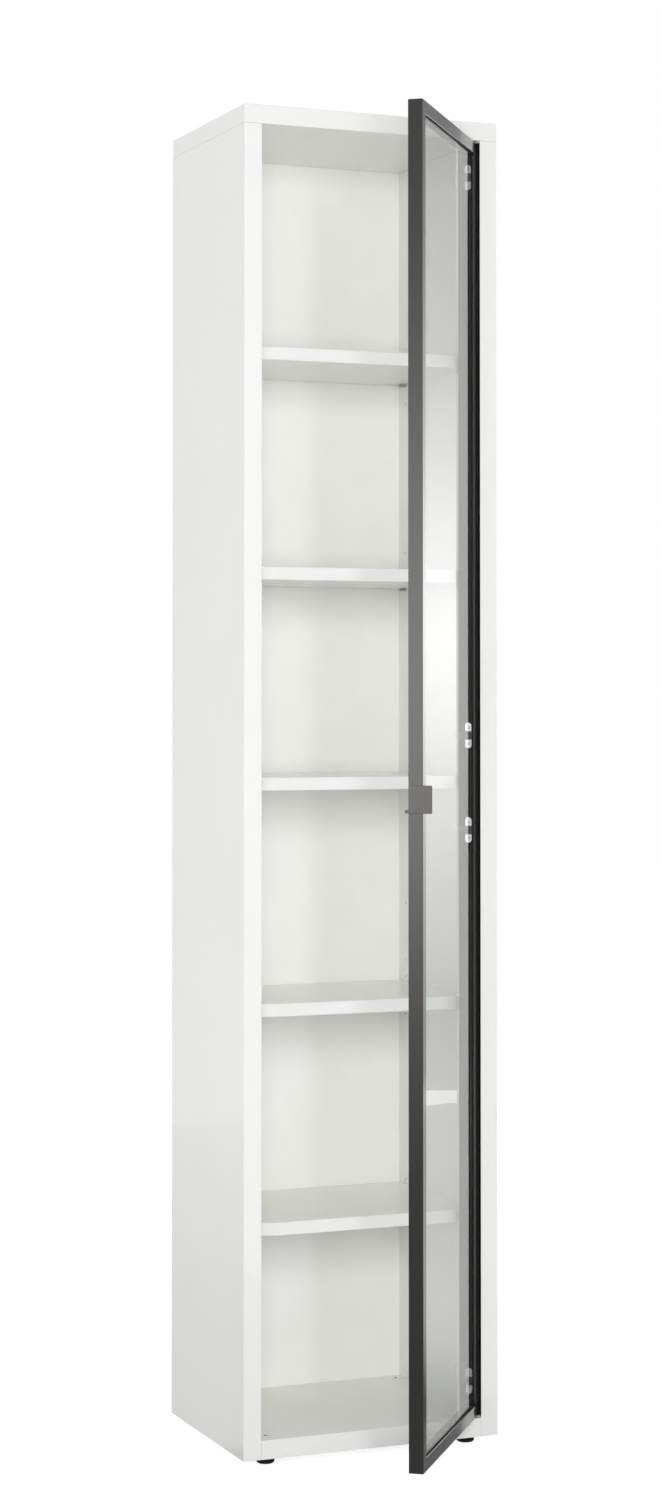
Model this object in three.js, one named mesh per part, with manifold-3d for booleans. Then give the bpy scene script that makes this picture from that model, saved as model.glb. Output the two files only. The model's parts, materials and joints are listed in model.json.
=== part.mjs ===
// A tall bookcase with one framed glass door, hung on the right and standing open.
// Millimetres, +Z up, front face towards -Y, origin on the floor under the middle of the carcass.

import * as THREE from "three";
import { mergeVertices } from "three/addons/utils/BufferGeometryUtils.js";
import Module from "manifold-3d";

const wasm = await Module();
wasm.setup();

// Carcass: six file heights tall, with its panels lapped as the front and the side show.
const carcassWidth = 446;
const carcassDepth = 344;
const carcassHeight = 2160;
const panelThickness = 30;
const seam = 0.3;
const backThickness = 8;
const backRecess = 5;
const grooveDepth = 6;

// Shelves: the middle one is fixed, the others lie on pins.
const shelfThickness = 21;
const shelfSetBack = 40;
const shelfCornerRadius = 44;
const shelfRearGap = 1;
const shelfEndGap = 0.5;
const fixedShelf = "middle_shelf";
// The underside of each shelf, as a share of the carcass height.
const undersideShares = {
  shelf_1: 0.813,
  shelf_2: 0.648,
  middle_shelf: 0.4903,
  shelf_4: 0.3218,
  shelf_5: 0.1594,
};

// Shelf pins, and the holes in each row: how many pitches each hole lies above its shelf's own.
const holePitch = 32;
const holeSteps = {
  shelf_1: [-1, 0, 1, 2],
  shelf_2: [-1, 0, 1, 2],
  shelf_4: [-1, 0, 1, 2, 5],
  shelf_5: [0, 1],
};
const frontRowInset = 77;
const rearRowFromBack = 27;
const holeRadius = 2.5;
const holeDepth = 11;
const pinStemRadius = 2.2;
const pinStemLength = 10;
const pinPegRadius = 2.5;
const pinPegLength = 11;

// Levelling feet and the bushes that guide their stems.
const footHeight = 11.5;
const footRadius = 14.7;
const footEdge = 2.4;
const footStemRadius = 3.5;
const footStemLength = 31.8;
const footEndInset = 47;
const footFrontInset = 26;
const footRearInset = 36;
const bushBoreRadius = 3.8;
const bushRadius = 6;
const bushFlangeRadius = 7;
const bushFlangeThickness = 1.5;

// Door: an inset frame of mitred profiles around one pane.
const doorOpenDegrees = 52;
const doorHingeGap = 2.5;
const doorFreeGap = 3.5;
const doorEndGap = 3;
const profileWidth = 20;
const profileDepth = 23;
const hingeStileDepth = 31;
const glassRecess = 4.3;
const glassThickness = 4;
const glassGap = 0.3;
const glazingGrooveDepth = 4.5;
const mitreGap = 0.3;
const sealWidth = 1.5;
const sealDepth = 1;

// Handle: a flat plate on the end of the free stile, with a tab behind its lower end.
const handleHeight = 43;
const handleProjection = 14.8;
const handleWidth = 36;
const handleThickness = 1.6;
const handleCornerRadius = 2;
const handleTabLength = 7;
const handleTabHeight = 5.5;
const handleHeightShare = 0.488;

// Hinges: plate and arm on the side panel, cup on the door, one pin between them.
const pinFromSide = 10.5;
const pinFromFront = 5.5;
const hingePinRadius = 1.7;
const hingeBoreRadius = 2;
const knuckleRadius = 3.6;
const armHeight = 13;
const armHalfWidth = 2.9;
const armLength = 80;
const armTail = 4;
const lugHeight = 4.5;
const hingeGap = 0.4;
const stileWall = 1.5;
const cupWeb = 2;
const cupWebDepth = 18;
const cupNeckHeight = 10;
const cupNeckDepth = 7.7;
const earThickness = 2;
const earLength = 42;
const earDepth = 10.6;
const earGap = 14;
const tongueHeight = 10;
const tongueThickness = 0.8;
const cupStepThickness = 1.2;
const plateThickness = 2.7;
const plateHeight = 16;
const plateWingHeight = 48;
const plateWingWidth = 12;
const endHingeInset = 60;
const middleHingeOffset = 77.5;

// How finely round things are cut, and how far a cut runs past what it cuts.
const sides = { pin: 10, foot: 32, bush: 20, knuckle: 20 };
const curveSegments = 8;
const overrun = 5;

// Sizes and places that follow from the ones above.
const frontFace = -carcassDepth / 2;
const sideFace = carcassWidth / 2;
const innerSide = sideFace - panelThickness;
const bottomFace = footHeight;
const floorFace = bottomFace + panelThickness;
const topFace = bottomFace + carcassHeight;
const ceilingFace = topFace - panelThickness;
const backFace = -frontFace - backRecess - backThickness;
const profileSealPlane = glassRecess - glassGap;
const glassBack = glassRecess + glassThickness;
const doorWidth = 2 * innerSide - doorHingeGap - doorFreeGap;
const doorBottom = floorFace + doorEndGap;
const doorTop = ceilingFace - doorEndGap;
const pinToEdge = pinFromSide - doorHingeGap;
const notchWidth = pinToEdge + knuckleRadius + hingeGap + cupWeb + glassGap;
const lugTop = armHeight / 2 + hingeGap + lugHeight;

const finishes = {
  lacquer: { color: 0xf4f4f2, roughness: 0.18, metalness: 0 },
  board: { color: 0xeeeeea, roughness: 0.5, metalness: 0 },
  darkAluminium: { color: 0x3b3a3c, roughness: 0.45, metalness: 0.8 },
  glass: { color: 0xd6dad8, roughness: 0.02, metalness: 0, transparent: true, opacity: 0.35 },
  blackRubber: { color: 0x161616, roughness: 0.8, metalness: 0 },
  chrome: { color: 0xd8dadc, roughness: 0.12, metalness: 1 },
  nickel: { color: 0xb9bbbd, roughness: 0.3, metalness: 1 },
  blackPlastic: { color: 0x121212, roughness: 0.4, metalness: 0 },
  whitePlastic: { color: 0xf0f0ec, roughness: 0.45, metalness: 0 },
};

const bookcase = new THREE.Group();
const door = new THREE.Group();
door.position.set(innerSide - pinFromSide, frontFace + pinFromFront, 0);
door.rotation.z = THREE.MathUtils.degToRad(doorOpenDegrees);
bookcase.add(door);

// A closed geometry with shared corners becomes a solid that can be joined and cut.
function solid(geometry) {
  geometry.deleteAttribute("normal");
  geometry.deleteAttribute("uv");
  const merged = mergeVertices(geometry);
  return new wasm.Manifold(new wasm.Mesh({
    numProp: 3,
    vertProperties: new Float32Array(merged.attributes.position.array),
    triVerts: new Uint32Array(merged.index.array),
  }));
}

function addNode(group, name, finish, shape) {
  const mesh = shape.getMesh();
  const geometry = new THREE.BufferGeometry();
  geometry.setAttribute("position", new THREE.BufferAttribute(new Float32Array(mesh.vertProperties), 3));
  geometry.setIndex(new THREE.BufferAttribute(new Uint32Array(mesh.triVerts), 1));
  geometry.computeVertexNormals();
  const node = new THREE.Mesh(geometry, new THREE.MeshStandardMaterial(finishes[finish]));
  node.name = name;
  group.add(node);
}

// The span between two places along an axis, given in either order.
function between(a, b) {
  return [Math.min(a, b), Math.max(a, b)];
}

function block([x0, x1], [y0, y1], [z0, z1]) {
  const geometry = new THREE.BoxGeometry(x1 - x0, y1 - y0, z1 - z0);
  return solid(geometry.translate((x0 + x1) / 2, (y0 + y1) / 2, (z0 + z1) / 2));
}

// An outline drawn across an axis and run along it: (y, z) across x, (x, z) across y, (x, y) across z.
function prism(shape, axis, from, to) {
  const [x, y, z] = [new THREE.Vector3(1, 0, 0), new THREE.Vector3(0, 1, 0), new THREE.Vector3(0, 0, 1)];
  const frames = { x: [y, z, x], y: [x, z, y.clone().negate()], z: [x, y, z] };
  const start = axis === "y" ? to : from;
  const options = { depth: to - from, bevelEnabled: false, curveSegments };
  const geometry = new THREE.ExtrudeGeometry(shape, options);
  geometry.applyMatrix4(new THREE.Matrix4().makeBasis(...frames[axis]));
  return solid(geometry.translate(...["x", "y", "z"].map((name) => (name === axis ? start : 0))));
}

function outline(points) {
  return new THREE.Shape(points.map(([u, v]) => new THREE.Vector2(u, v)));
}

function slotOutline(centreU, centreV, width, length) {
  const shape = new THREE.Shape();
  const radius = width / 2;
  const reach = length / 2 - radius;
  shape.absarc(centreU, centreV + reach, radius, 0, Math.PI);
  shape.absarc(centreU, centreV - reach, radius, Math.PI, 2 * Math.PI);
  return shape;
}

function upright(radius, [z0, z1], count, x = 0, y = 0) {
  const geometry = new THREE.CylinderGeometry(radius, radius, z1 - z0, count);
  return solid(geometry.rotateX(Math.PI / 2).translate(x, y, (z0 + z1) / 2));
}

function turned(points, count) {
  const geometry = new THREE.LatheGeometry(points.map(([r, h]) => new THREE.Vector2(r, h)), count);
  return geometry.rotateX(Math.PI / 2);
}

// The sign of x at each end of the shelves.
const ends = { left: -1, right: 1 };
const rows = { front: frontFace + frontRowInset, rear: backFace - rearRowFromBack };
const pinDrop = pinPegRadius + seam;

function undersideOf(shelf) {
  return bottomFace + undersideShares[shelf] * carcassHeight;
}

function pinHeight(shelf) {
  return undersideOf(shelf) - pinDrop;
}

function hole(end, y, z) {
  const geometry = new THREE.CylinderGeometry(holeRadius, holeRadius, holeDepth + overrun, sides.pin);
  const x = ends[end] * (innerSide + (holeDepth - overrun) / 2);
  return solid(geometry.rotateZ(Math.PI / 2).translate(x, y, z));
}

function sidePanel(end) {
  const sign = ends[end];
  const thickness = between(sign * innerSide, sign * sideFace);
  const groove = block(between(sign * (innerSide - overrun), sign * (innerSide + grooveDepth)),
    [backFace - seam, backFace + backThickness + seam], [floorFace - grooveDepth, ceilingFace + overrun]);
  let panel = block(thickness, [frontFace, -frontFace], [bottomFace, ceilingFace - seam]).subtract(groove);
  for (const [shelf, steps] of Object.entries(holeSteps)) {
    for (const step of steps) {
      for (const y of Object.values(rows)) {
        panel = panel.subtract(hole(end, y, pinHeight(shelf) + step * holePitch));
      }
    }
  }
  addNode(bookcase, `${end}_side_panel`, "lacquer", panel);
}

function topPanel() {
  const groove = block([-innerSide - grooveDepth, innerSide + grooveDepth],
    [backFace - seam, backFace + backThickness + seam], [ceilingFace - overrun, ceilingFace + grooveDepth]);
  const panel = block([-sideFace, sideFace], [frontFace, -frontFace], [ceilingFace, topFace]);
  addNode(bookcase, "top_panel", "lacquer", panel.subtract(groove));
}

const footPlaces = {
  front_left: [-sideFace + footEndInset, frontFace + footFrontInset],
  front_right: [sideFace - footEndInset, frontFace + footFrontInset],
  rear_left: [-sideFace + footEndInset, -frontFace - footRearInset],
  rear_right: [sideFace - footEndInset, -frontFace - footRearInset],
};

function bottomPanel() {
  let panel = block([-innerSide + seam, innerSide - seam], [frontFace, -frontFace], [bottomFace, floorFace]);
  panel = panel.subtract(block([-sideFace, sideFace],
    [backFace - seam, backFace + backThickness + seam], [floorFace - grooveDepth, floorFace + overrun]));
  for (const [x, y] of Object.values(footPlaces)) {
    const bore = upright(bushRadius + seam, [bottomFace - overrun, floorFace + overrun], sides.bush, x, y);
    panel = panel.subtract(bore);
  }
  addNode(bookcase, "bottom_panel", "lacquer", panel);
}

function backPanel() {
  const reach = grooveDepth - seam;
  addNode(bookcase, "back_panel", "board", block([-innerSide - reach, innerSide + reach],
    [backFace, backFace + backThickness], [floorFace - reach, ceilingFace + reach]));
}

function shelf(name) {
  const edge = innerSide - (name === fixedShelf ? seam : shelfEndGap);
  const front = frontFace + shelfSetBack;
  const rear = backFace - shelfRearGap;
  const corner = shelfCornerRadius;
  const shape = new THREE.Shape();
  shape.absarc(-edge + corner, front + corner, corner, Math.PI, 1.5 * Math.PI);
  shape.absarc(edge - corner, front + corner, corner, 1.5 * Math.PI, 2 * Math.PI);
  shape.lineTo(edge, rear);
  shape.lineTo(-edge, rear);
  const underside = undersideOf(name);
  addNode(bookcase, name, "lacquer", prism(shape, "z", underside, underside + shelfThickness));
}

function shelfPin(shelfName, row, end) {
  const geometry = turned([
    [0, 0],
    [pinStemRadius, 0],
    [pinStemRadius, pinStemLength],
    [pinPegRadius, pinStemLength],
    [pinPegRadius, pinStemLength + pinPegLength],
    [0, pinStemLength + pinPegLength],
  ], sides.pin);
  geometry.rotateY(-ends[end] * Math.PI / 2);
  geometry.translate(ends[end] * (innerSide + pinStemLength - seam), rows[row], pinHeight(shelfName));
  addNode(bookcase, `${shelfName}_pin_${row}_${end}`, "nickel", solid(geometry));
}

function foot(place, [x, y]) {
  const top = footHeight - seam;
  const geometry = turned([
    [0, 0],
    [footRadius - footEdge, 0],
    [footRadius, footEdge],
    [footRadius, top],
    [footStemRadius, top],
    [footStemRadius, top + footStemLength],
    [0, top + footStemLength],
  ], sides.foot);
  addNode(bookcase, `foot_${place}`, "blackPlastic", solid(geometry.translate(x, y, 0)));
}

function footBush(place, [x, y]) {
  const flangeFoot = floorFace + seam;
  const geometry = turned([
    [bushBoreRadius, bottomFace],
    [bushRadius, bottomFace],
    [bushRadius, flangeFoot],
    [bushFlangeRadius, flangeFoot],
    [bushFlangeRadius, flangeFoot + bushFlangeThickness],
    [bushBoreRadius, flangeFoot + bushFlangeThickness],
    [bushBoreRadius, bottomFace],
  ], sides.bush);
  addNode(bookcase, `foot_bush_${place}`, "whitePlastic", solid(geometry.translate(x, y, 0)));
}

const middleHinges = undersideOf(fixedShelf) + shelfThickness / 2;
const hingeHeights = {
  hinge_1: doorTop - endHingeInset,
  hinge_2: middleHinges + middleHingeOffset,
  hinge_3: middleHinges - middleHingeOffset,
  hinge_4: doorBottom + endHingeInset,
};

// Door pieces are drawn shut, with the pin at x = 0, y = 0 and the free edge towards -X.
function fromEdge(distance) {
  return pinToEdge - distance;
}

function fromOuterFace(depth) {
  return depth - pinFromFront;
}

// The profile's section, as places across the frame from its outer edge and back from its outer face.
function profileSection(depth) {
  return [
    [0, 0],
    [profileWidth, 0],
    [profileWidth, profileSealPlane],
    [profileWidth - glazingGrooveDepth, profileSealPlane],
    [profileWidth - glazingGrooveDepth, glassBack + glassGap],
    [profileWidth, glassBack + glassGap],
    [profileWidth, depth],
    [0, depth],
  ];
}

// A stile or rail's outline as seen from the front, long at its outer edge and cut at 45 degrees.
function mitred(outer, inner, from, to, cutsAlong) {
  const slant = Math.abs(inner - outer);
  const near = from + mitreGap / 2;
  const far = to - mitreGap / 2;
  const points = [[outer, near], [inner, near + slant], [inner, far - slant], [outer, far]];
  return outline(cutsAlong === "x" ? points.map(([across, along]) => [along, across]) : points);
}

function stile(outerEdge, inward, depth) {
  const innerEdge = outerEdge + inward * profileWidth;
  const section = profileSection(depth).map(([across, back]) => [
    outerEdge + inward * across,
    fromOuterFace(back),
  ]);
  const bar = prism(outline(section), "z", doorBottom, doorTop);
  const railBack = fromOuterFace(profileDepth + seam);
  const front = prism(mitred(outerEdge, innerEdge, doorBottom, doorTop, "z"), "y",
    fromOuterFace(0) - overrun, railBack);
  const rear = block(between(outerEdge, innerEdge), [railBack, fromOuterFace(depth) + overrun],
    [doorBottom, doorTop]);
  return bar.intersect(depth > profileDepth ? front.add(rear) : front);
}

// The hinge stile is open from behind at each hinge, where the arm swings in, and slotted for the cup.
function hingeStile() {
  let bar = stile(fromEdge(0), -1, hingeStileDepth);
  const [slotFront, slotBack] = cupNeckSpan();
  for (const z of Object.values(hingeHeights)) {
    const height = lugTop + hingeGap;
    bar = bar.subtract(block([fromEdge(notchWidth), fromEdge(-overrun)],
      [fromOuterFace(stileWall), fromOuterFace(hingeStileDepth) + overrun], [z - height, z + height]));
    bar = bar.subtract(block([fromEdge(profileWidth + overrun), fromEdge(0)],
      [slotFront - seam, slotBack + seam], [z - cupNeckHeight / 2 - seam, z + cupNeckHeight / 2 + seam]));
  }
  addNode(door, "door_hinge_stile", "darkAluminium", bar);
}

function freeStile() {
  addNode(door, "door_free_stile", "darkAluminium", stile(fromEdge(doorWidth), 1, profileDepth));
}

function rail(name, outerEdge, inward) {
  const section = profileSection(profileDepth).map(([across, back]) => [
    fromOuterFace(back),
    outerEdge + inward * across,
  ]);
  const [start, end] = [fromEdge(doorWidth), fromEdge(0)];
  const bar = prism(outline(section), "x", start, end);
  const trim = prism(mitred(outerEdge, outerEdge + inward * profileWidth, start, end, "x"), "y",
    fromOuterFace(0) - overrun, fromOuterFace(profileDepth) + overrun);
  addNode(door, name, "darkAluminium", bar.intersect(trim));
}

function pane() {
  const inset = profileWidth - glazingGrooveDepth + glassGap;
  addNode(door, "door_glass", "glass", block([fromEdge(doorWidth - inset), fromEdge(inset)],
    [fromOuterFace(glassRecess), fromOuterFace(glassBack)], [doorBottom + inset, doorTop - inset]));
}

function glazingSeal() {
  const outer = profileWidth + glassGap;
  const inner = outer + sealWidth;
  const back = fromOuterFace(glassRecess - glassGap);
  const ring = (inset, reach) => block([fromEdge(doorWidth - inset), fromEdge(inset)],
    [back - sealDepth - reach, back + reach], [doorBottom + inset, doorTop - inset]);
  addNode(door, "door_glazing_seal", "blackRubber", ring(outer, 0).subtract(ring(inner, overrun)));
}

function handle() {
  const z = bottomFace + carcassHeight * handleHeightShare;
  const [front, back] = [fromOuterFace(-handleProjection), fromOuterFace(handleWidth - handleProjection)];
  const [low, high] = [z - handleHeight / 2, z + handleHeight / 2];
  const corner = handleCornerRadius;
  const shape = new THREE.Shape();
  shape.moveTo(back + handleTabLength, low);
  shape.lineTo(back + handleTabLength, low + handleTabHeight);
  shape.lineTo(back, low + handleTabHeight);
  shape.lineTo(back, high);
  shape.absarc(front + corner, high - corner, corner, Math.PI / 2, Math.PI);
  shape.absarc(front + corner, low + corner, corner, Math.PI, 1.5 * Math.PI);
  const seat = fromEdge(doorWidth) - seam;
  addNode(door, "door_handle", "darkAluminium", prism(shape, "x", seat - handleThickness, seat));
}

function cupNeckSpan() {
  const front = fromOuterFace(glassBack + glassGap + cupWeb);
  return [front, front + cupNeckDepth];
}

// The door's half of a hinge: two lugs round the pin, a web, and a neck out to an ear plate with round ends.
// The plate is stepped down between its ears, where a tongue runs back along the stile.
function hingeCup(name, z) {
  const webFace = fromEdge(notchWidth - glassGap);
  const earSeat = fromEdge(profileWidth) - seam;
  const earFront = fromOuterFace(glassBack + hingeGap);
  const earBack = earFront + earDepth;
  const [neckFront, neckBack] = cupNeckSpan();
  const web = block([webFace, webFace + cupWeb], [-knuckleRadius, cupWebDepth - knuckleRadius],
    [z - lugTop, z + lugTop]);
  const neck = block([earSeat - earThickness, webFace + cupWeb], [neckFront, neckBack],
    [z - cupNeckHeight / 2, z + cupNeckHeight / 2]);
  const ears = prism(slotOutline((earFront + earBack) / 2, z, earDepth, earLength), "x",
    earSeat - earThickness, earSeat);
  const step = block([earSeat - earThickness - overrun, earSeat - cupStepThickness],
    [earFront - overrun, earBack + overrun], [z - earGap / 2, z + earGap / 2]);
  const tongue = block([earSeat - cupStepThickness - tongueThickness, earSeat],
    [earBack - earDepth / 2, fromOuterFace(hingeStileDepth)], [z - tongueHeight / 2, z + tongueHeight / 2]);
  let cup = web.add(neck).add(ears).subtract(step).add(tongue);
  for (const side of [-1, 1]) {
    const lug = between(z + side * (lugTop - lugHeight), z + side * lugTop);
    cup = cup.add(upright(knuckleRadius, lug, sides.knuckle));
    cup = cup.add(block([webFace, 0], [-knuckleRadius, knuckleRadius], lug));
  }
  const bore = upright(hingeBoreRadius, [z - lugTop - overrun, z + lugTop + overrun], sides.knuckle);
  addNode(door, `${name}_cup`, "chrome", cup.subtract(bore));
}

function hingePin(name, z) {
  addNode(door, `${name}_pin`, "nickel", upright(hingePinRadius, [z - lugTop, z + lugTop], sides.knuckle));
}

// The carcass's half of a hinge: an arm with its knuckle round the pin, on a plate with two wings.
function hingeArm(name, z) {
  const wallFace = pinFromSide - plateThickness - 2 * seam;
  const clearOfStile = fromOuterFace(hingeStileDepth) + knuckleRadius;
  const shape = outline([
    [-armHalfWidth, 0],
    [armHalfWidth, 0],
    [armHalfWidth, clearOfStile],
    [wallFace, clearOfStile + wallFace - armHalfWidth],
    [wallFace, armLength],
    [-armHalfWidth + armTail, armLength],
    [-armHalfWidth, armLength - armTail],
  ]);
  const span = [z - armHeight / 2, z + armHeight / 2];
  const bore = upright(hingeBoreRadius, [span[0] - overrun, span[1] + overrun], sides.knuckle);
  const arm = prism(shape, "z", ...span).add(upright(knuckleRadius, span, sides.knuckle)).subtract(bore);
  addNode(bookcase, `${name}_arm`, "chrome", arm.translate([door.position.x, door.position.y, 0]));
}

function hingePlate(name, z) {
  const front = door.position.y + fromOuterFace(hingeStileDepth) + knuckleRadius + pinFromSide;
  const rear = door.position.y + armLength - armTail;
  const wing = (front + rear) / 2;
  const faces = [innerSide - seam - plateThickness, innerSide - seam];
  const strip = block(faces, [front, rear], [z - plateHeight / 2, z + plateHeight / 2]);
  const wings = prism(slotOutline(wing, z, plateWingWidth, plateWingHeight), "x", ...faces);
  addNode(bookcase, `${name}_plate`, "chrome", strip.add(wings));
}

topPanel();
bottomPanel();
sidePanel("left");
sidePanel("right");
backPanel();
for (const name of Object.keys(undersideShares)) {
  shelf(name);
}
for (const shelfName of Object.keys(holeSteps)) {
  for (const row of Object.keys(rows)) {
    for (const end of Object.keys(ends)) {
      shelfPin(shelfName, row, end);
    }
  }
}
for (const [place, position] of Object.entries(footPlaces)) {
  foot(place, position);
  footBush(place, position);
}
hingeStile();
freeStile();
rail("door_top_rail", doorTop, -1);
rail("door_bottom_rail", doorBottom, 1);
pane();
glazingSeal();
handle();
for (const [name, z] of Object.entries(hingeHeights)) {
  hingePlate(name, z);
  hingeArm(name, z);
  hingeCup(name, z);
  hingePin(name, z);
}

export default bookcase;
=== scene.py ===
"""Dresses a tall bookcase with one framed glass door, and lights and frames it as the photograph does."""

import json
import math

import bmesh
import bpy
from bpy.props import FloatProperty, FloatVectorProperty, PointerProperty
from bpy.types import Operator, Panel, PropertyGroup
from mathutils import Matrix, Vector

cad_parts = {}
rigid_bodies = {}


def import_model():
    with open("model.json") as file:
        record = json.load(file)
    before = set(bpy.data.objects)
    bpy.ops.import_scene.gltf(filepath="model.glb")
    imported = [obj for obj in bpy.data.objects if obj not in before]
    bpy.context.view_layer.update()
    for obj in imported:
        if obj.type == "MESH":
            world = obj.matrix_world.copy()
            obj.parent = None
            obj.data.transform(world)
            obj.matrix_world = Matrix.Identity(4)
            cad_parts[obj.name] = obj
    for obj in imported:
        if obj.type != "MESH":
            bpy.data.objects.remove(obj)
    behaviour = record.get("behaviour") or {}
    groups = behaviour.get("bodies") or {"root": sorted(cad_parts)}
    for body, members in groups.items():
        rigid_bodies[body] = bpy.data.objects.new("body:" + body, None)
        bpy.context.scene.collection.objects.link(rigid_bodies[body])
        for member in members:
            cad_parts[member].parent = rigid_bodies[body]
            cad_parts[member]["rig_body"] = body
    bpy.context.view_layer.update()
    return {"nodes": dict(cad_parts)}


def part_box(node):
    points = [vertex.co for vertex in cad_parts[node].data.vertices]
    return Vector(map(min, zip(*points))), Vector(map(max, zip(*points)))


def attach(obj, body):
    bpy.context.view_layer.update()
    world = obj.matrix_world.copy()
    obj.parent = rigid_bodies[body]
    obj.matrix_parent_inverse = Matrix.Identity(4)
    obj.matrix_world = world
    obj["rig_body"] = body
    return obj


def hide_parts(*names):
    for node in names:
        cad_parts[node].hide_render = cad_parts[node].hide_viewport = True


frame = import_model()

bl_info = {
    "name": "Bookcase with a glass door",
    "version": (1, 0, 0),
    "blender": (4, 5, 0),
    "location": "View3D > Sidebar > Bookcase",
    "description": "Finishes for the panels, shelves, door, hinges and feet, and the studio around them",
    "category": "Object",
}

MM = 0.001
# Edges that turn by more than the first angle are eased, and the second parts smooth faces from sharp ones.
EASED_ANGLE = math.radians(40)
SHARP_ANGLE = math.radians(60)

# The photograph's frame and its optical centre, in pixels, and the camera that its straight edges give.
PHOTO_WIDTH_PX = 662
PHOTO_HEIGHT_PX = 1500
OPTICAL_CENTRE_PX = (331, 627)
FOCAL_LENGTH_PX = 2918
CAMERA_PLACE = (-1.873, -4.519, 1.224)
CAMERA_YAW = math.radians(22.49)
CAMERA_PITCH = math.radians(1.346)
SENSOR = 36.0

# The studio: how bright the surround and the floor are, and half the floor's width.
AMBIENT = 0.4
FLOOR_GLOW = 0.86
FLOOR_REACH = 14.0
# Each lamp: its middle, what it faces, its width and height, and its power in watts.
LAMPS = (
    ("camera_softbox", (-1.5, -5.1, 1.7), (0.0, 0.0, 1.05), (1.8, 2.1), 152),
    ("left_softbox", (-4.5, -0.6, 1.6), (-0.2, 0.0, 1.15), (2.0, 2.4), 47),
    ("rear_softbox", (3.2, 3.6, 1.9), (0.0, 0.0, 1.05), (2.4, 2.2), 80),
)
# Each card: its middle, what it faces, half its width and height, and its brightness from foot to top.
# A mat is a card that lies on the floor and faces up.
CARDS = (
    ("side_card", (3.6, 2.4, 1.25), (0.05, -0.3, 1.25), (2.4, 2.6),
     ((0.0, 0.35), (1.0, 0.25), (0.29, 0.55), (0.4, 0.95), (0.5, 2.15), (0.56, 2.15), (0.64, 1.2),
      (0.73, 0.65), (0.81, 0.38))),
    ("camera_card", (-3.71, -2.12, 1.35), (-0.51, 0.28, 1.35), (2.15, 2.6),
     ((0.0, 0.2), (1.0, 0.3), (0.24, 0.3), (0.31, 0.8), (0.39, 2.2), (0.49, 3.0), (0.61, 1.8), (0.69, 0.9),
      (0.77, 0.5))),
    ("camera_card_wing", (-1.91, -4.52, 1.35), (1.29, -2.12, 1.35), (0.85, 2.6), ((0.0, 0.4), (1.0, 0.4))),
    ("floor_mat", (-1.335, -1.525, 0.003), (-1.335, -1.525, 1.0), (1.665, 1.475), ((0.0, 0.28), (1.0, 0.28))),
    # Painted shadow: this mat darkens the floor that glass and gloss show beside the cabinet, darkest where
    # the cabinet's shadow lies.
    ("side_shadow_mat", (1.55, 0.925, 0.003), (1.55, 0.925, 1.0), (1.75, 1.375),
     ((0.0, 0.6), (1.0, 0.08), (0.2, 0.6), (0.66, 0.74), (0.75, 0.6), (0.82, 0.25), (0.87, 0.1))),
    ("rear_mat", (-1.5, 1.65, 0.003), (-1.5, 1.65, 1.0), (1.6, 1.7), ((0.0, 0.95), (1.0, 0.5))),
)

# The cups' ears, measured from the level of their middle and along the door's two directions.
EAR_START = 7.2 * MM
EAR_SCREW_LEVEL = 13.5 * MM
EAR_SCREW_FRONT = 238.8 * MM
EAR_FACE = 33.1 * MM
# A thin black strip in the gap between the door's hinge edge and the side panel: painted shade of that gap.
GAP_SHADE_THICKNESS = 0.6 * MM
GAP_SHADE_SPAN = (0.8 * MM, 10.0 * MM)
# How wide a screw's recess is, and how far its middle lies from a plate's end, in radii of its head.
RECESS_WIDTH = 0.55
PLATE_SCREW_INSET = 1.6
# How closely a face must look along a direction, as a cosine, to take another finish.
FACES_INWARD = 0.7
FACES_FLAT = 0.9
FACES_SQUARE = 0.95
SHELVES = ("shelf_1", "shelf_2", "middle_shelf", "shelf_4", "shelf_5")
HINGES = ("hinge_1", "hinge_2", "hinge_3", "hinge_4")
FOOT_PLACES = ("front_left", "front_right", "rear_left", "rear_right")
# The door's front and the inward side of its hinge stile, as they face while the door stands open at rest.
DOOR_OPEN = math.radians(52)
DOOR_FRONT = Vector((math.sin(DOOR_OPEN), -math.cos(DOOR_OPEN), 0))
DOOR_INWARD = Vector((-math.cos(DOOR_OPEN), -math.sin(DOOR_OPEN), 0))
# Where the pane's back lies along the door's front direction.
PANE_BACK = 245 * MM
PROFILES = ("door_hinge_stile", "door_free_stile", "door_top_rail", "door_bottom_rail")


def linear(hex_colour):
    """An sRGB hex value such as F4F4F2, as linear red, green, blue and alpha."""
    channels = [int(hex_colour[i:i + 2], 16) / 255 for i in (0, 2, 4)]
    return tuple(c / 12.92 if c <= 0.04045 else ((c + 0.055) / 1.055) ** 2.4 for c in channels) + (1.0,)


def add_node(tree, kind, inputs=None, **settings):
    """A node with its settings; an input is a value, or another node's output to link."""
    node = tree.nodes.new(kind)
    for key, value in settings.items():
        setattr(node, key, value)
    for key, value in (inputs or {}).items():
        if isinstance(value, bpy.types.NodeSocket):
            tree.links.new(value, node.inputs[key])
        else:
            node.inputs[key].default_value = value
    return node


def new_material(name):
    material = bpy.data.materials.new(name)
    material.use_nodes = True
    material.node_tree.nodes.clear()
    return material, material.node_tree


def finish_material(tree, shader):
    add_node(tree, "ShaderNodeOutputMaterial", {"Surface": shader.outputs[0]})


def place_in_metres(tree):
    """Object coordinates: the CAD frame in metres, the same in every view."""
    return add_node(tree, "ShaderNodeTexCoord").outputs["Object"]


def fine_noise(tree, size, detail=2.0, stretch=(1, 1, 1)):
    """Noise whose grains are about this size in metres, stretched along an axis by a scale under 1."""
    mapping = add_node(tree, "ShaderNodeMapping", {"Vector": place_in_metres(tree), "Scale": stretch})
    return add_node(tree, "ShaderNodeTexNoise",
                    {"Vector": mapping.outputs[0], "Scale": 1 / size, "Detail": detail})


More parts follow.
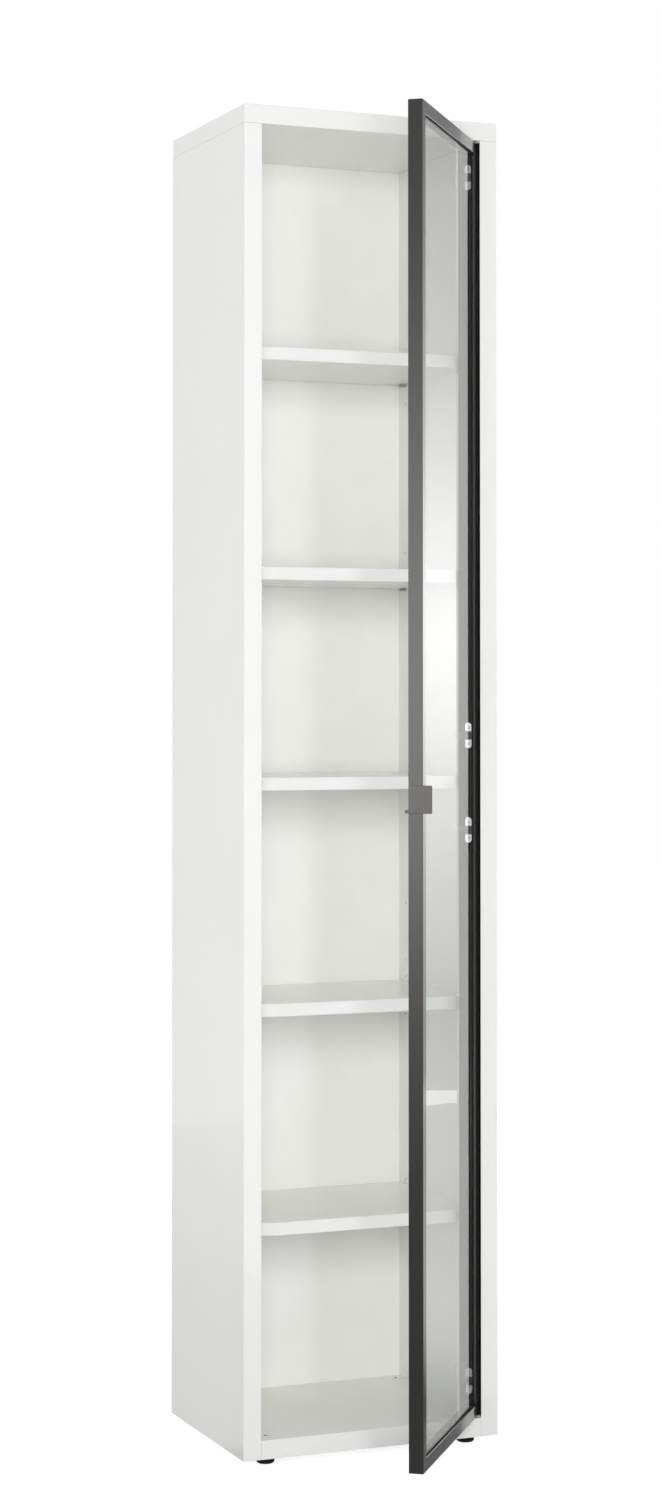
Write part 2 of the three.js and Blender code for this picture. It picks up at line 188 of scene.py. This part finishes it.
def tone(tree, noise, low, high):
    """Two close colours mixed by a noise."""
    ramp = add_node(tree, "ShaderNodeValToRGB", {"Fac": noise.outputs["Fac"]})
    ramp.color_ramp.elements[0].position = 0.35
    ramp.color_ramp.elements[0].color = low
    ramp.color_ramp.elements[1].position = 0.65
    ramp.color_ramp.elements[1].color = high
    return ramp.outputs["Color"]


def shade_of(colour, factor):
    return tuple(c * factor for c in colour[:3]) + (1.0,)


def bump(tree, height, strength, distance):
    return add_node(tree, "ShaderNodeBump",
                    {"Height": height, "Strength": strength, "Distance": distance}).outputs[0]


def uv_lacquered_board(finishes):
    """UV-cured gloss lacquer, roller coated: a deep even white with a hard clear skin.
    The skin has a faint orange peel, which only bends the reflections a little."""
    material, tree = new_material("uv_lacquered_board")
    white = tuple(finishes.lacquer)
    shade = tone(tree, fine_noise(tree, 180 * MM), shade_of(white, 0.985), white)
    peel = fine_noise(tree, 9 * MM, detail=1.0)
    shader = add_node(tree, "ShaderNodeBsdfPrincipled", {
        "Base Color": shade, "Roughness": 0.34, "IOR": 1.5,
        "Coat Weight": 0.9, "Coat Roughness": 0.03, "Coat IOR": 1.5,
        "Coat Normal": bump(tree, peel.outputs["Fac"], 0.05, 0.2 * MM)})
    finish_material(tree, shader)
    return material


def melamine_faced_board(finishes):
    """Melamine-faced chipboard, pressed against a fine-grained plate: satin, with a tiny pearl to it."""
    material, tree = new_material("melamine_faced_board")
    white = tuple(finishes.melamine)
    shade = tone(tree, fine_noise(tree, 60 * MM), shade_of(white, 0.98), white)
    pearl = fine_noise(tree, 1.6 * MM, detail=3.0)
    shader = add_node(tree, "ShaderNodeBsdfPrincipled", {
        "Base Color": shade, "Roughness": 0.2, "IOR": 1.55,
        "Normal": bump(tree, pearl.outputs["Fac"], 0.04, 0.05 * MM)})
    finish_material(tree, shader)
    return material


def anodised_aluminium(finishes):
    """Extruded aluminium, etched and anodised dark: satin, with faint draw lines along the profile."""
    material, tree = new_material("anodised_aluminium")
    grey = tuple(finishes.aluminium)
    lines = fine_noise(tree, 1.2 * MM, detail=3.0, stretch=(1, 1, 0.02))
    shade = tone(tree, lines, shade_of(grey, 0.9), shade_of(grey, 1.08))
    shader = add_node(tree, "ShaderNodeBsdfPrincipled", {
        "Base Color": shade, "Metallic": 0.75, "Roughness": 0.3,
        "Coat Weight": 1.0, "Coat Roughness": 0.12, "Coat IOR": 1.6,
        "Normal": bump(tree, lines.outputs["Fac"], 0.1, 0.05 * MM)})
    finish_material(tree, shader)
    return material


def painted_shade_aluminium(finishes):
    """Painted shade: a near black, matt copy of the door's aluminium for the hinge stile's faces that lie in
    shade, so that they mirror nothing.
    """
    material, tree = new_material("painted_shade_aluminium")
    black = tuple(finishes.hinge_stile_shade)
    grain = fine_noise(tree, 0.5 * MM, detail=3.0)
    shader = add_node(tree, "ShaderNodeBsdfPrincipled", {
        "Base Color": tone(tree, grain, shade_of(black, 0.85), black), "Roughness": 0.7,
        "Specular IOR Level": 0.15,
        "Normal": bump(tree, grain.outputs["Fac"], 0.2, 0.03 * MM)})
    finish_material(tree, shader)
    return material


def float_glass(finishes):
    """Float glass with a light grey body tint: flat and clear, mirror-like where it is seen at a slant."""
    material, tree = new_material("float_glass")
    tint = tuple(finishes.glass)
    shade = tone(tree, fine_noise(tree, 300 * MM), shade_of(tint, 0.99), tint)
    shader = add_node(tree, "ShaderNodeBsdfPrincipled", {
        "Base Color": shade, "Roughness": 0.0, "IOR": 1.52, "Transmission Weight": 1.0})
    finish_material(tree, shader)
    return material


def zinc_plated_steel(finishes):
    """Pressed steel, bright zinc plated and passivated: a pale skin that scatters as much as it mirrors."""
    material, tree = new_material("zinc_plated_steel")
    silver = tuple(finishes.plating)
    ripple = fine_noise(tree, 6 * MM)
    shader = add_node(tree, "ShaderNodeBsdfPrincipled", {
        "Base Color": tone(tree, ripple, shade_of(silver, 0.96), silver), "Metallic": 0.65, "Roughness": 0.22,
        "Normal": bump(tree, ripple.outputs["Fac"], 0.08, 0.1 * MM)})
    finish_material(tree, shader)
    return material


def nickel_plate(finishes):
    """Dull nickel plate on turned steel: softer and warmer than the zinc, with fine turning marks."""
    material, tree = new_material("nickel_plate")
    grey = tuple(finishes.nickel)
    marks = fine_noise(tree, 0.6 * MM, stretch=(1, 0.2, 1))
    shader = add_node(tree, "ShaderNodeBsdfPrincipled", {
        "Base Color": tone(tree, marks, shade_of(grey, 0.9), grey), "Metallic": 1.0, "Roughness": 0.32,
        "Normal": bump(tree, marks.outputs["Fac"], 0.15, 0.03 * MM)})
    finish_material(tree, shader)
    return material


def cup_middle_shade_metal(finishes):
    """A duller, darker metal for the sunk middle of a hinge cup: the dullness keeps it from mirroring, and
    its dark grey is painted shade of the recess between the bright ears.
    """
    material, tree = new_material("cup_middle_shade_metal")
    grey = tuple(finishes.zinc)
    skin = fine_noise(tree, 0.9 * MM, detail=3.0)
    shader = add_node(tree, "ShaderNodeBsdfPrincipled", {
        "Base Color": tone(tree, skin, shade_of(grey, 0.85), grey), "Metallic": 1.0, "Roughness": 0.45,
        "Normal": bump(tree, skin.outputs["Fac"], 0.2, 0.04 * MM)})
    finish_material(tree, shader)
    return material


def black_polyamide(finishes):
    """Moulded black polyamide: a fine spark-eroded grain that keeps the shine low."""
    material, tree = new_material("black_polyamide")
    black = tuple(finishes.foot)
    grain = fine_noise(tree, 0.7 * MM, detail=4.0)
    shader = add_node(tree, "ShaderNodeBsdfPrincipled", {
        "Base Color": tone(tree, grain, shade_of(black, 0.8), black), "Roughness": 0.5,
        "Specular IOR Level": 0.2,
        "Normal": bump(tree, grain.outputs["Fac"], 0.3, 0.05 * MM)})
    finish_material(tree, shader)
    return material


def white_polypropylene(finishes):
    """Moulded white polypropylene: slightly waxy, a touch warmer than the board around it."""
    material, tree = new_material("white_polypropylene")
    white = tuple(finishes.bush)
    grain = fine_noise(tree, 0.8 * MM, detail=3.0)
    shader = add_node(tree, "ShaderNodeBsdfPrincipled", {
        "Base Color": tone(tree, grain, shade_of(white, 0.96), white), "Roughness": 0.4, "IOR": 1.49,
        "Normal": bump(tree, grain.outputs["Fac"], 0.15, 0.04 * MM)})
    finish_material(tree, shader)
    return material


def epdm_rubber(finishes):
    """Extruded black rubber: matt, with a trace of bloom along the lip."""
    material, tree = new_material("epdm_rubber")
    black = tuple(finishes.seal)
    bloom = fine_noise(tree, 4 * MM, detail=3.0)
    shader = add_node(tree, "ShaderNodeBsdfPrincipled", {
        "Base Color": tone(tree, bloom, shade_of(black, 0.7), black), "Roughness": 0.75, "IOR": 1.5,
        "Normal": bump(tree, bloom.outputs["Fac"], 0.2, 0.05 * MM)})
    finish_material(tree, shader)
    return material


MAKERS = {maker.__name__: maker for maker in (
    uv_lacquered_board, melamine_faced_board, anodised_aluminium, painted_shade_aluminium, float_glass,
    zinc_plated_steel, nickel_plate, cup_middle_shade_metal, black_polyamide, white_polypropylene, epdm_rubber)}


def material_named(name):
    """The material of that name, made the first time it is asked for."""
    return bpy.data.materials.get(name) or MAKERS[name](bpy.context.scene.bookcase_finishes)


def link_object(name, mesh):
    piece = bpy.data.objects.new(name, mesh)
    bpy.context.scene.collection.objects.link(piece)
    return piece


def eased_copy(node, radius, material_name, segments=2):
    """A copy of a CAD node with its sharp edges eased, which then stands for the node."""
    mesh = frame["nodes"][node].data.copy()
    mesh.materials.clear()
    mesh.materials.append(material_named(material_name))
    build = bmesh.new()
    build.from_mesh(mesh)
    bmesh.ops.remove_doubles(build, verts=build.verts, dist=0.001 * MM)
    bmesh.ops.dissolve_limit(build, angle_limit=math.radians(0.5), verts=build.verts, edges=build.edges)
    sharp = [e for e in build.edges if len(e.link_faces) == 2 and e.calc_face_angle() > EASED_ANGLE]
    bmesh.ops.bevel(build, geom=sharp, offset=radius, segments=segments, profile=0.5, affect="EDGES",
                    clamp_overlap=True)
    for face in build.faces:
        face.smooth = True
        face.material_index = 0
    build.to_mesh(mesh)
    build.free()
    piece = link_object(node + "_finished", mesh)
    mesh.set_sharp_from_angle(angle=SHARP_ANGLE)
    piece.modifiers.new("flat_faces", "WEIGHTED_NORMAL").keep_sharp = True
    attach(piece, frame["nodes"][node]["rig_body"])
    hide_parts(node)
    return piece


def face_with(piece, material_name, wanted):
    """Gives a second material to the faces whose middle and normal the wanted test picks."""
    piece.data.materials.append(material_named(material_name))
    index = len(piece.data.materials) - 1
    for face in piece.data.polygons:
        if wanted(face.center, face.normal):
            face.material_index = index


def revolved(name, profile, steps=24):
    """A closed turned mesh about Z from (radius, height) points that start and end on the axis."""
    build = bmesh.new()
    rings = []
    turns = [2 * math.pi * i / steps for i in range(steps)]
    for radius, height in profile:
        around = turns if radius else turns[:1]
        rings.append([build.verts.new((radius * math.cos(a), radius * math.sin(a), height)) for a in around])
    for low, high in zip(rings, rings[1:]):
        for i in range(steps):
            j = (i + 1) % steps
            corners = [low[i % len(low)], low[j % len(low)], high[j % len(high)], high[i % len(high)]]
            build.faces.new(list(dict.fromkeys(corners)))
    bmesh.ops.recalc_face_normals(build, faces=build.faces)
    for face in build.faces:
        face.smooth = True
    mesh = bpy.data.meshes.new(name)
    build.to_mesh(mesh)
    build.free()
    mesh.set_sharp_from_angle(angle=math.radians(35))
    return mesh


def screw_mesh(radius, recess):
    """A raised countersunk head with a cross recess of two crossed slots."""
    rise = radius * 0.45
    mesh = revolved("screw_head", [
        (0, 0), (radius * 0.9, 0), (radius, rise * 0.3), (radius * 0.86, rise * 0.7),
        (radius * 0.5, rise * 0.95), (0, rise)])
    head = link_object("screw_head_cut", mesh)
    for turn in (0, math.pi / 2):
        cutter_mesh = bpy.data.meshes.new("recess")
        build = bmesh.new()
        size = Matrix.Diagonal((recess * 2, recess * 0.45, rise, 1))
        bmesh.ops.create_cube(build, size=1, matrix=Matrix.Translation((0, 0, rise)) @ size)
        build.transform(Matrix.Rotation(turn, 4, "Z"))
        build.to_mesh(cutter_mesh)
        build.free()
        cutter = link_object("recess_cutter", cutter_mesh)
        cut = head.modifiers.new("recess", "BOOLEAN")
        cut.operation = "DIFFERENCE"
        cut.solver = "EXACT"
        cut.object = cutter
        depsgraph = bpy.context.evaluated_depsgraph_get()
        cut_mesh = bpy.data.meshes.new_from_object(head.evaluated_get(depsgraph))
        head.modifiers.clear()
        head.data = cut_mesh
        bpy.data.objects.remove(cutter)
    finished = head.data
    bpy.data.objects.remove(head)
    return finished


def set_screw(name, mesh, place, towards, body):
    """One zinc-plated screw head, seated at a place with its top facing a direction."""
    piece = link_object(name, mesh.copy())
    turn = Vector(towards).to_track_quat("Z", "Y").to_matrix().to_4x4()
    piece.data.transform(Matrix.Translation(Vector(place)) @ turn)
    piece.data.materials.clear()
    piece.data.materials.append(material_named("zinc_plated_steel"))
    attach(piece, body)


class BookcaseSizes(PropertyGroup):
    """Sizes that the finished pieces add to the CAD model."""
    board_edge: FloatProperty(
        name="Board edge", description="Radius of the eased edges of the panels and shelves",
        default=0.9 * MM, min=0, unit="LENGTH")
    profile_edge: FloatProperty(
        name="Profile edge", description="Radius of the corners of the aluminium profiles",
        default=0.5 * MM, min=0, unit="LENGTH")
    glass_edge: FloatProperty(
        name="Glass edge", description="Width of the pane's ground edge",
        default=0.4 * MM, min=0, unit="LENGTH")
    hardware_edge: FloatProperty(
        name="Hardware edge", description="Radius of the pressed edges of hinges and pins",
        default=0.35 * MM, min=0, unit="LENGTH")
    foot_edge: FloatProperty(
        name="Foot edge", description="Radius of the moulded edge of a foot",
        default=0.9 * MM, min=0, unit="LENGTH")
    screw_radius: FloatProperty(
        name="Screw radius", description="Radius of a hinge screw's head",
        default=3.2 * MM, min=0, unit="LENGTH")
    ear_screw_radius: FloatProperty(
        name="Ear screw radius", description="Radius of the screw head in a hinge cup's ear",
        default=2.3 * MM, min=0, unit="LENGTH")


def colour(name, description, hex_colour):
    return FloatVectorProperty(name=name, description=description, size=4, min=0, max=1,
                               subtype="COLOR", default=linear(hex_colour))


class BookcaseFinishes(PropertyGroup):
    """Colours of the finishes."""
    lacquer: colour("Lacquer", "Gloss lacquer outside and on the front edges", "F0F0EE")
    melamine: colour("Melamine", "Satin board inside", "FAFAF7")
    aluminium: colour("Aluminium", "Dark anodised door frame and handle", "312F2D")
    # Painted shade: the near black that stands for the shade on the hinge stile's front and inward side.
    hinge_stile_shade: colour("Blasted aluminium", "Matt faces of the hinge stile", "262524")
    glass: colour("Glass", "Body tint of the pane", "E8EAE8")
    plating: colour("Plating", "Ears of the hinge cups, arms, plates and their screws", "F0F2F4")
    # Painted shade: the dark grey of the hinge cups' sunk middles stands for the shade between their ears.
    zinc: colour("Zinc", "Sunk middles and tongues of the hinge cups", "6A6864")
    nickel: colour("Nickel", "Shelf pins and hinge pins", "C6C4BC")
    foot: colour("Foot", "Levelling feet", "121212")
    bush: colour("Bush", "Foot bushes", "F1F0EA")
    # The same black serves the real glazing seal and the strip of painted shade in the gap.
    seal: colour("Seal", "Glazing seal and gap seal", "141414")


class BOOKCASE_OT_panels(Operator):
    """Lacquered top, bottom, sides and back, satin inside"""
    bl_idname = "bookcase.panels"
    bl_label = "Panels"

    def execute(self, context):
        edge = context.scene.bookcase_sizes.board_edge
        inward = {"left_side_panel": Vector((1, 0, 0)), "right_side_panel": Vector((-1, 0, 0)),
                  "top_panel": Vector((0, 0, -1)), "bottom_panel": Vector((0, 0, 1))}
        for node, direction in inward.items():
            piece = eased_copy(node, edge, "uv_lacquered_board")
            face_with(piece, "melamine_faced_board", lambda _, normal: normal.dot(direction) > FACES_INWARD)
        eased_copy("back_panel", edge / 2, "melamine_faced_board")
        return {"FINISHED"}


class BOOKCASE_OT_shelves(Operator):
    """Shelves with rounded front corners and lacquered front edges"""
    bl_idname = "bookcase.shelves"
    bl_label = "Shelves"

    def execute(self, context):
        for node in SHELVES:
            edge = context.scene.bookcase_sizes.board_edge
            piece = eased_copy(node, edge, "uv_lacquered_board")
            face_with(piece, "melamine_faced_board", lambda _, normal: abs(normal.z) > FACES_FLAT)
        return {"FINISHED"}


class BOOKCASE_OT_shelf_pins(Operator):
    """Nickel-plated pins under the loose shelves"""
    bl_idname = "bookcase.shelf_pins"
    bl_label = "Shelf pins"

    def execute(self, context):
        for node in frame["nodes"]:
            if node.startswith("shelf_") and "_pin_" in node:
                eased_copy(node, context.scene.bookcase_sizes.hardware_edge, "nickel_plate")
        return {"FINISHED"}


class BOOKCASE_OT_feet(Operator):
    """Levelling feet and the bushes that they are turned through"""
    bl_idname = "bookcase.feet"
    bl_label = "Feet"

    def execute(self, context):
        sizes = context.scene.bookcase_sizes
        for place in FOOT_PLACES:
            eased_copy("foot_" + place, sizes.foot_edge, "black_polyamide")
            eased_copy("foot_bush_" + place, sizes.hardware_edge, "white_polypropylene")
        return {"FINISHED"}


def shows_painted_shade(middle, normal):
    """Painted shade: picks the hinge stile's front, and its inward side where that lies behind the pane, to
    take the near black matt finish.
    """
    behind_pane = middle.dot(DOOR_FRONT) < PANE_BACK
    looks_inward = normal.dot(DOOR_INWARD) > FACES_SQUARE
    return normal.dot(DOOR_FRONT) > FACES_SQUARE or (behind_pane and looks_inward)


class BOOKCASE_OT_door(Operator):
    """Mitred aluminium frame, pane and glazing seal"""
    bl_idname = "bookcase.door"
    bl_label = "Door"

    def execute(self, context):
        sizes = context.scene.bookcase_sizes
        for node in PROFILES:
            piece = eased_copy(node, sizes.profile_edge, "anodised_aluminium")
            if node == "door_hinge_stile":
                # Painted shade: the hinge stile's front and inward side take a near black matt finish.
                face_with(piece, "painted_shade_aluminium", shows_painted_shade)
        pane = eased_copy("door_glass", sizes.glass_edge, "float_glass", segments=1)
        pane.visible_shadow = False
        eased_copy("door_glazing_seal", sizes.hardware_edge, "epdm_rubber")
        return {"FINISHED"}


class BOOKCASE_OT_handle(Operator):
    """Flat plate handle on the end of the free stile"""
    bl_idname = "bookcase.handle"
    bl_label = "Handle"

    def execute(self, context):
        eased_copy("door_handle", context.scene.bookcase_sizes.hardware_edge, "anodised_aluminium")
        return {"FINISHED"}


class BOOKCASE_OT_gap_shade_strip(Operator):
    """A black strip down the right side panel, in the gap beside the door's hinge edge: painted shade of that
    gap
    """
    bl_idname = "bookcase.gap_seal"
    bl_label = "Gap seal"

    def execute(self, context):
        panel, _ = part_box("right_side_panel")
        foot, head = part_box("door_hinge_stile")
        near, far = (panel.y + offset for offset in GAP_SHADE_SPAN)
        low = Vector((panel.x - GAP_SHADE_THICKNESS, near, foot.z))
        high = Vector((panel.x, far, head.z))
        build = bmesh.new()
        bmesh.ops.create_cube(build, size=1, matrix=(
            Matrix.Translation((low + high) / 2) @ Matrix.Diagonal((*(high - low), 1))))
        mesh = bpy.data.meshes.new("gap_seal")
        build.to_mesh(mesh)
        build.free()
        mesh.materials.append(material_named("epdm_rubber"))
        # The strip is painted shade: black rubber where the gap lies in shade.
        seal = link_object("gap_seal", mesh)
        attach(seal, "carcass")
        return {"FINISHED"}


class BOOKCASE_OT_hinges(Operator):
    """Plates, arms, cups and pins of the four hinges, with their screws"""
    bl_idname = "bookcase.hinges"
    bl_label = "Hinges"

    def execute(self, context):
        sizes = context.scene.bookcase_sizes
        head = screw_mesh(sizes.screw_radius, sizes.screw_radius * RECESS_WIDTH)
        ear_head = screw_mesh(sizes.ear_screw_radius, sizes.ear_screw_radius * RECESS_WIDTH)
        for hinge in HINGES:
            for part in ("plate", "arm", "cup"):
                eased_copy(f"{hinge}_{part}", sizes.hardware_edge, "zinc_plated_steel")
            cup = bpy.data.objects[hinge + "_cup_finished"]
            low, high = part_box(hinge + "_cup")
            level = (low.z + high.z) / 2
            # Painted shade: the cup's middle faces between its ears take a darker, duller metal.
            face_with(cup, "cup_middle_shade_metal", lambda middle, normal: (
                abs(middle.z - level) < EAR_START and normal.dot(DOOR_INWARD) > FACES_FLAT))
            for end, side in (("lower", -1), ("upper", 1)):
                place = DOOR_FRONT * EAR_SCREW_FRONT + DOOR_INWARD * EAR_FACE
                place.z = level + side * EAR_SCREW_LEVEL
                set_screw(f"{hinge}_cup_screw_{end}", ear_head, place, DOOR_INWARD, "door")
            eased_copy(hinge + "_pin", sizes.hardware_edge, "nickel_plate")
            low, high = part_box(hinge + "_plate")
            middle = (low + high) / 2
            reach = (high.z - low.z) / 2 - PLATE_SCREW_INSET * sizes.screw_radius
            for end, side in (("lower", -1), ("upper", 1)):
                place = (low.x, middle.y, middle.z + side * reach)
                set_screw(f"{hinge}_plate_screw_{end}", head, place, (-1, 0, 0), "carcass")
        return {"FINISHED"}


def add_area(name, place, target, size, power):
    lamp = bpy.data.lights.new(name, "AREA")
    lamp.shape = "RECTANGLE"
    lamp.size, lamp.size_y = size
    lamp.energy = power
    lit = bpy.data.objects.new(name, lamp)
    bpy.context.scene.collection.objects.link(lit)
    lit.location = place
    lit.rotation_euler = (Vector(target) - Vector(place)).to_track_quat("-Z", "Y").to_euler()
    lit.visible_glossy = False
    # The pane casts no shadow, so light that also came through it as rays would count twice.
    lit.visible_transmission = False


def seen_directly(tree):
    """1 for the camera and for what metal and glass show, 0 for light that falls on the object."""
    rays = add_node(tree, "ShaderNodeLightPath").outputs
    seen = rays["Is Camera Ray"]
    for kind in ("Is Glossy Ray", "Is Transmission Ray"):
        seen = add_node(tree, "ShaderNodeMath", {0: seen, 1: rays[kind]}, operation="MAXIMUM").outputs[0]
    return seen


def white_world(ambient):
    world = bpy.data.worlds.new("white_studio")
    bpy.context.scene.world = world
    world.use_nodes = True
    tree = world.node_tree
    tree.nodes.clear()
    light = add_node(tree, "ShaderNodeBackground", {"Color": linear("FFFFFF"), "Strength": ambient})
    seen = add_node(tree, "ShaderNodeBackground", {"Color": linear("FFFFFF"), "Strength": 1.0})
    mix = add_node(tree, "ShaderNodeMixShader",
                   {"Fac": seen_directly(tree), 1: light.outputs[0], 2: seen.outputs[0]})
    add_node(tree, "ShaderNodeOutputWorld", {"Surface": mix.outputs[0]})


def plain_sheet(name, material, matrix):
    """A square of side 2 m, placed and sized by a matrix, that belongs to the studio."""
    build = bmesh.new()
    bmesh.ops.create_grid(build, x_segments=1, y_segments=1, size=1)
    mesh = bpy.data.meshes.new(name)
    build.to_mesh(mesh)
    build.free()
    mesh.materials.append(material)
    sheet = link_object(name, mesh)
    sheet.matrix_world = matrix
    return sheet


def white_floor(reach):
    """A pale floor that the camera sees as nearly white, and that keeps the object's shadow."""
    material, tree = new_material("white_floor")
    paint = add_node(tree, "ShaderNodeBsdfDiffuse", {"Color": linear("E8E8E8")})
    shadow = add_node(tree, "ShaderNodeBsdfDiffuse", {"Color": linear("A6A6A6")})
    glow = add_node(tree, "ShaderNodeEmission", {"Color": linear("FFFFFF"), "Strength": FLOOR_GLOW})
    both = add_node(tree, "ShaderNodeAddShader", {0: shadow.outputs[0], 1: glow.outputs[0]})
    mix = add_node(tree, "ShaderNodeMixShader",
                   {"Fac": seen_directly(tree), 1: paint.outputs[0], 2: both.outputs[0]})
    finish_material(tree, mix)
    plain_sheet("floor", material, Matrix.Diagonal((reach, reach, 1, 1)))


def reflector_card(name, middle, towards, size, stops):
    """A board, upright or laid flat, that only metal, glass and gloss show.
    Each stop is a height on the board, from 0 to 1, and how bright the board is there.
    The ramp starts with two stops, so the first two given are its foot and its top."""
    material, tree = new_material(name)
    height = add_node(tree, "ShaderNodeSeparateXYZ", {
        0: add_node(tree, "ShaderNodeTexCoord").outputs["Generated"]}).outputs["Y"]
    ramp = add_node(tree, "ShaderNodeValToRGB", {"Fac": height})
    ramp.color_ramp.interpolation = "B_SPLINE"
    brightest = max(strength for _, strength in stops)
    for index, (place, strength) in enumerate(stops):
        stop = ramp.color_ramp.elements[index] if index < 2 else ramp.color_ramp.elements.new(place)
        stop.position = place
        stop.color = (strength / brightest,) * 3 + (1,)
    shine = add_node(tree, "ShaderNodeEmission", {"Color": ramp.outputs["Color"], "Strength": brightest})
    finish_material(tree, shine)
    turn = (Vector(towards) - Vector(middle)).to_track_quat("Z", "Y").to_matrix().to_4x4()
    card = plain_sheet(name, material, Matrix.Translation(middle) @ turn @ Matrix.Diagonal((*size, 1, 1)))
    card.visible_camera = card.visible_diffuse = card.visible_transmission = card.visible_shadow = False


class BOOKCASE_OT_studio(Operator):
    """White floor and surround, soft lamps and the photograph's camera"""
    bl_idname = "bookcase.studio"
    bl_label = "Studio"

    def execute(self, context):
        white_world(ambient=AMBIENT)
        white_floor(reach=FLOOR_REACH)
        for name, place, target, size, power in LAMPS:
            add_area(name, place, target, size, power)
        for name, middle, towards, size, stops in CARDS:
            reflector_card(name, middle, towards, size, stops)
        camera = bpy.data.cameras.new("camera")
        camera.sensor_width = SENSOR
        camera.lens = FOCAL_LENGTH_PX / PHOTO_HEIGHT_PX * SENSOR
        camera.shift_x = (PHOTO_WIDTH_PX / 2 - OPTICAL_CENTRE_PX[0]) / PHOTO_HEIGHT_PX
        camera.shift_y = (OPTICAL_CENTRE_PX[1] - PHOTO_HEIGHT_PX / 2) / PHOTO_HEIGHT_PX
        view = bpy.data.objects.new("camera", camera)
        context.scene.collection.objects.link(view)
        view.location = CAMERA_PLACE
        view.rotation_euler = (math.pi / 2 + CAMERA_PITCH, 0, -CAMERA_YAW)
        context.scene.camera = view
        context.scene.view_settings.view_transform = "Standard"
        return {"FINISHED"}


class BOOKCASE_PT_pieces(Panel):
    bl_label = "Bookcase"
    bl_idname = "BOOKCASE_PT_pieces"
    bl_space_type = "VIEW_3D"
    bl_region_type = "UI"
    bl_category = "Bookcase"

    def draw(self, context):
        for operator in OPERATORS:
            self.layout.operator(operator.bl_idname)
        for group in (context.scene.bookcase_sizes, context.scene.bookcase_finishes):
            for name in type(group).__annotations__:
                self.layout.prop(group, name)


OPERATORS = (BOOKCASE_OT_panels, BOOKCASE_OT_shelves, BOOKCASE_OT_shelf_pins, BOOKCASE_OT_feet,
             BOOKCASE_OT_door, BOOKCASE_OT_handle, BOOKCASE_OT_gap_shade_strip, BOOKCASE_OT_hinges,
             BOOKCASE_OT_studio)
CLASSES = (BookcaseSizes, BookcaseFinishes) + OPERATORS + (BOOKCASE_PT_pieces,)


def register():
    for entry in CLASSES:
        bpy.utils.register_class(entry)
    bpy.types.Scene.bookcase_sizes = PointerProperty(type=BookcaseSizes)
    bpy.types.Scene.bookcase_finishes = PointerProperty(type=BookcaseFinishes)


def unregister():
    del bpy.types.Scene.bookcase_finishes
    del bpy.types.Scene.bookcase_sizes
    for entry in reversed(CLASSES):
        bpy.utils.unregister_class(entry)


def main():
    register()
    bpy.ops.bookcase.panels()
    bpy.ops.bookcase.shelves()
    bpy.ops.bookcase.shelf_pins()
    bpy.ops.bookcase.feet()
    bpy.ops.bookcase.door()
    bpy.ops.bookcase.handle()
    bpy.ops.bookcase.gap_seal()
    bpy.ops.bookcase.hinges()
    bpy.ops.bookcase.studio()


if __name__ == "__main__":
    main()
